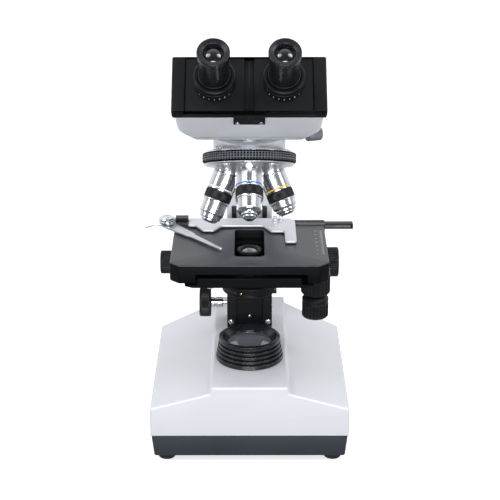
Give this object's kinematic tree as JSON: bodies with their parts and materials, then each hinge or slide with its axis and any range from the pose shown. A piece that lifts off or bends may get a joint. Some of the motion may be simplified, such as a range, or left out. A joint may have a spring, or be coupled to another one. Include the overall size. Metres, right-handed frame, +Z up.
{
  "type": "binocular microscope",
  "caption": "Upright laboratory microscope with inclined binocular head, revolving nosepiece, mechanical stage, condenser and lit base.",
  "frame": {"origin": "centre of the bounding box's footprint, on the table under the rubber feet", "axes": "+Z up, +Y from the user's side towards the arm, +X to the user's right"},
  "size_m": [0.1951, 0.2185, 0.3937],
  "materials": {
    "white_enamel": "smooth white enamel",
    "tray_grey": "dark grey fine texture",
    "black_enamel": "satin black enamel",
    "stage_coating": "satin dark grey coating",
    "chrome": "polished chrome",
    "satin_steel": "satin nickel",
    "black_plastic": "matt moulded",
    "rubber": "matt",
    "clear_glass": "coated optical glass",
    "blue_glass": "blue filter glass",
    "ceramic": "unglazed",
    "circuit_board": "green solder mask"
  },
  "bodies": {
    "stand": {"base_tray": "tray_grey", "base_housing": "white_enamel", "front_left_foot": "rubber", "front_right_foot": "rubber", "rear_left_foot": "rubber", "rear_right_foot": "rubber", "arm": "white_enamel", "focus_rail": "black_enamel", "lamp_house": "black_enamel", "field_lens": "clear_glass", "lamp_bulb": "clear_glass", "lamp_socket": "ceramic", "power_board": "circuit_board", "power_inlet": "black_plastic", "nosepiece_mount": "chrome"},
    "switch": {"power_switch": "black_plastic"},
    "dial": {"brightness_dial": "black_plastic"},
    "lock_screw": {"head_lock_screw": "satin_steel"},
    "coarse_drive": {"left_coarse_knob": "black_plastic", "right_coarse_knob": "black_plastic"},
    "fine_drive": {"left_fine_knob": "black_plastic", "right_fine_knob": "black_plastic"},
    "carriage": {"focus_carriage": "black_enamel", "stage_lower_plate": "black_enamel"},
    "condenser": {"condenser_carrier": "black_enamel", "condenser_body": "black_enamel", "condenser_lens": "clear_glass"},
    "iris": {"iris_lever": "chrome"},
    "filter": {"filter_holder": "black_enamel", "blue_filter": "blue_glass"},
    "condenser_drive": {"condenser_knob": "black_plastic"},
    "stage_y": {"stage_top_plate": "stage_coating", "stage_x_guide": "stage_coating", "stage_control_column": "black_enamel"},
    "y_knob": {"stage_y_knob": "black_plastic"},
    "x_knob": {"stage_x_knob": "black_plastic"},
    "stage_x": {"x_rack_bar": "black_enamel", "slide_holder": "satin_steel", "spring_barrel": "chrome"},
    "finger": {"slide_finger": "satin_steel"},
    "turret": {"turret_ring": "black_enamel", "turret_body": "chrome", "objective_4x": "chrome", "objective_10x": "chrome", "objective_40x": "chrome", "objective_100x": "chrome"},
    "nose_40x": {"objective_40x_nose": "chrome"},
    "nose_100x": {"objective_100x_nose": "chrome"},
    "head": {"head_mount_ring": "satin_steel", "head_housing": "white_enamel", "head_prism": "clear_glass", "slider_bed": "black_plastic"},
    "left_slide": {"left_slider_plate": "black_plastic"},
    "right_slide": {"right_slider_plate": "black_plastic"},
    "left_ring": {"left_diopter_ring": "black_enamel"},
    "right_ring": {"right_diopter_ring": "black_enamel"},
    "left_tube": {"left_ocular_tube": "black_enamel"},
    "right_tube": {"right_ocular_tube": "black_enamel"},
    "left_ocular": {"left_eyepiece": "black_plastic"},
    "right_ocular": {"right_eyepiece": "black_plastic"}
  },
  "joints": [
    {"name": "switch_rock", "type": "hinge", "parent": "stand", "child": "switch", "pos_m": [0.022, 0.10053, 0.044], "axis": [1, 0, 0], "range_deg": [-7, 7]},
    {"name": "dial_turn", "type": "hinge", "parent": "stand", "child": "dial", "pos_m": [0.058, 0.10353, 0.044], "axis": [0, 1, 0], "range_deg": [0, 270]},
    {"name": "lock_screw_turn", "type": "hinge", "parent": "stand", "child": "lock_screw", "pos_m": [0, -0.01647, 0.287], "axis": [0.9455, 0.3256, 0], "range_deg": [-30, 180]},
    {"name": "focus_slide", "type": "slide", "parent": "stand", "child": "carriage", "axis": [0, 0, 1], "range_m": [-0.003, 0.017]},
    {"name": "coarse_turn", "type": "hinge", "parent": "stand", "child": "coarse_drive", "pos_m": [0, 0.08553, 0.1317], "axis": [1, 0, 0], "range_deg": [-170, 50]},
    {"name": "fine_turn", "type": "hinge", "parent": "stand", "child": "fine_drive", "pos_m": [0, 0.08553, 0.1317], "axis": [1, 0, 0], "continuous": true},
    {"name": "condenser_slide", "type": "slide", "parent": "carriage", "child": "condenser", "axis": [0, 0, 1], "range_m": [-0.025, 0.004]},
    {"name": "condenser_knob_turn", "type": "hinge", "parent": "carriage", "child": "condenser_drive", "pos_m": [0, 0.05153, 0.103], "axis": [1, 0, 0], "range_deg": [-40, 230]},
    {"name": "iris_turn", "type": "hinge", "parent": "condenser", "child": "iris", "pos_m": [0, -0.01647, 0.148], "axis": [0, 0, 1], "range_deg": [-30, 30]},
    {"name": "filter_swing", "type": "hinge", "parent": "condenser", "child": "filter", "pos_m": [0.0225, -0.01647, 0.143], "axis": [0, 0, 1], "range_deg": [0, 90]},
    {"name": "stage_y_slide", "type": "slide", "parent": "carriage", "child": "stage_y", "axis": [0, 1, 0], "range_m": [-0.02, 0.02]},
    {"name": "y_knob_turn", "type": "hinge", "parent": "stage_y", "child": "y_knob", "pos_m": [0.0615, -0.00147, 0.14], "axis": [0, 0, 1], "range_deg": [-190, 190]},
    {"name": "stage_x_slide", "type": "slide", "parent": "stage_y", "child": "stage_x", "axis": [1, 0, 0], "range_m": [-0.035, 0.035]},
    {"name": "x_knob_turn", "type": "hinge", "parent": "stage_y", "child": "x_knob", "pos_m": [0.0615, -0.00147, 0.12], "axis": [0, 0, 1], "range_deg": [-330, 330]},
    {"name": "finger_open", "type": "hinge", "parent": "stage_x", "child": "finger", "pos_m": [-0.077, 0.02653, 0.192], "axis": [0, 0, -1], "range_deg": [0, 35], "stiffness_Nm_per_rad": 0.03, "springref_deg": -11.46},
    {"name": "turret_turn", "type": "hinge", "parent": "stand", "child": "turret", "pos_m": [0, -0.01647, 0.3081], "axis": [0, 0.3665, 0.9304], "continuous": true},
    {"name": "nose_40x_slide", "type": "slide", "parent": "turret", "child": "nose_40x", "axis": [0, 0.682, 0.7314], "range_m": [0, 0.002], "stiffness_N_per_m": 400, "springref_m": -0.002},
    {"name": "nose_100x_slide", "type": "slide", "parent": "turret", "child": "nose_100x", "axis": [0.3665, 0.341, 0.8657], "range_m": [0, 0.002], "stiffness_N_per_m": 400, "springref_m": -0.002},
    {"name": "head_turn", "type": "hinge", "parent": "stand", "child": "head", "pos_m": [0, -0.01647, 0.292], "axis": [0, 0, 1], "continuous": true},
    {"name": "left_eye_slide", "type": "slide", "parent": "head", "child": "left_slide", "axis": [-1, 0, 0], "range_m": [-0.0015, 0.0065]},
    {"name": "right_eye_slide", "type": "slide", "parent": "head", "child": "right_slide", "axis": [1, 0, 0], "range_m": [-0.0015, 0.0065]},
    {"name": "left_tube_slide", "type": "slide", "parent": "left_slide", "child": "left_tube", "axis": [0, -0.7071, 0.7071], "range_m": [-0.0025, 0.0025]},
    {"name": "left_diopter_turn", "type": "hinge", "parent": "left_slide", "child": "left_ring", "pos_m": [-0.029, -0.06456, 0.34931], "axis": [0, -0.7071, 0.7071], "range_deg": [-182, 182]},
    {"name": "right_tube_slide", "type": "slide", "parent": "right_slide", "child": "right_tube", "axis": [0, -0.7071, 0.7071], "range_m": [-0.0025, 0.0025]},
    {"name": "right_diopter_turn", "type": "hinge", "parent": "right_slide", "child": "right_ring", "pos_m": [0.029, -0.06456, 0.34931], "axis": [0, -0.7071, 0.7071], "range_deg": [-182, 182]},
    {"name": "left_eyepiece_lift", "type": "slide", "parent": "left_tube", "child": "left_ocular", "axis": [0, -0.7071, 0.7071], "range_m": [0, 0.03]},
    {"name": "right_eyepiece_lift", "type": "slide", "parent": "right_tube", "child": "right_ocular", "axis": [0, -0.7071, 0.7071], "range_m": [0, 0.03]}
  ],
  "couplings": [
    {"joint": "coarse_turn", "follows": "focus_slide", "rad_per_m": -125.66},
    {"joint": "condenser_knob_turn", "follows": "condenser_slide", "rad_per_m": -157.08},
    {"joint": "y_knob_turn", "follows": "stage_y_slide", "rad_per_m": 157.08},
    {"joint": "x_knob_turn", "follows": "stage_x_slide", "rad_per_m": 157.08},
    {"joint": "right_eye_slide", "follows": "left_eye_slide", "ratio": 1},
    {"joint": "left_diopter_turn", "follows": "left_tube_slide", "rad_per_m": 1256.6},
    {"joint": "right_diopter_turn", "follows": "right_tube_slide", "rad_per_m": 1256.6}
  ]
}
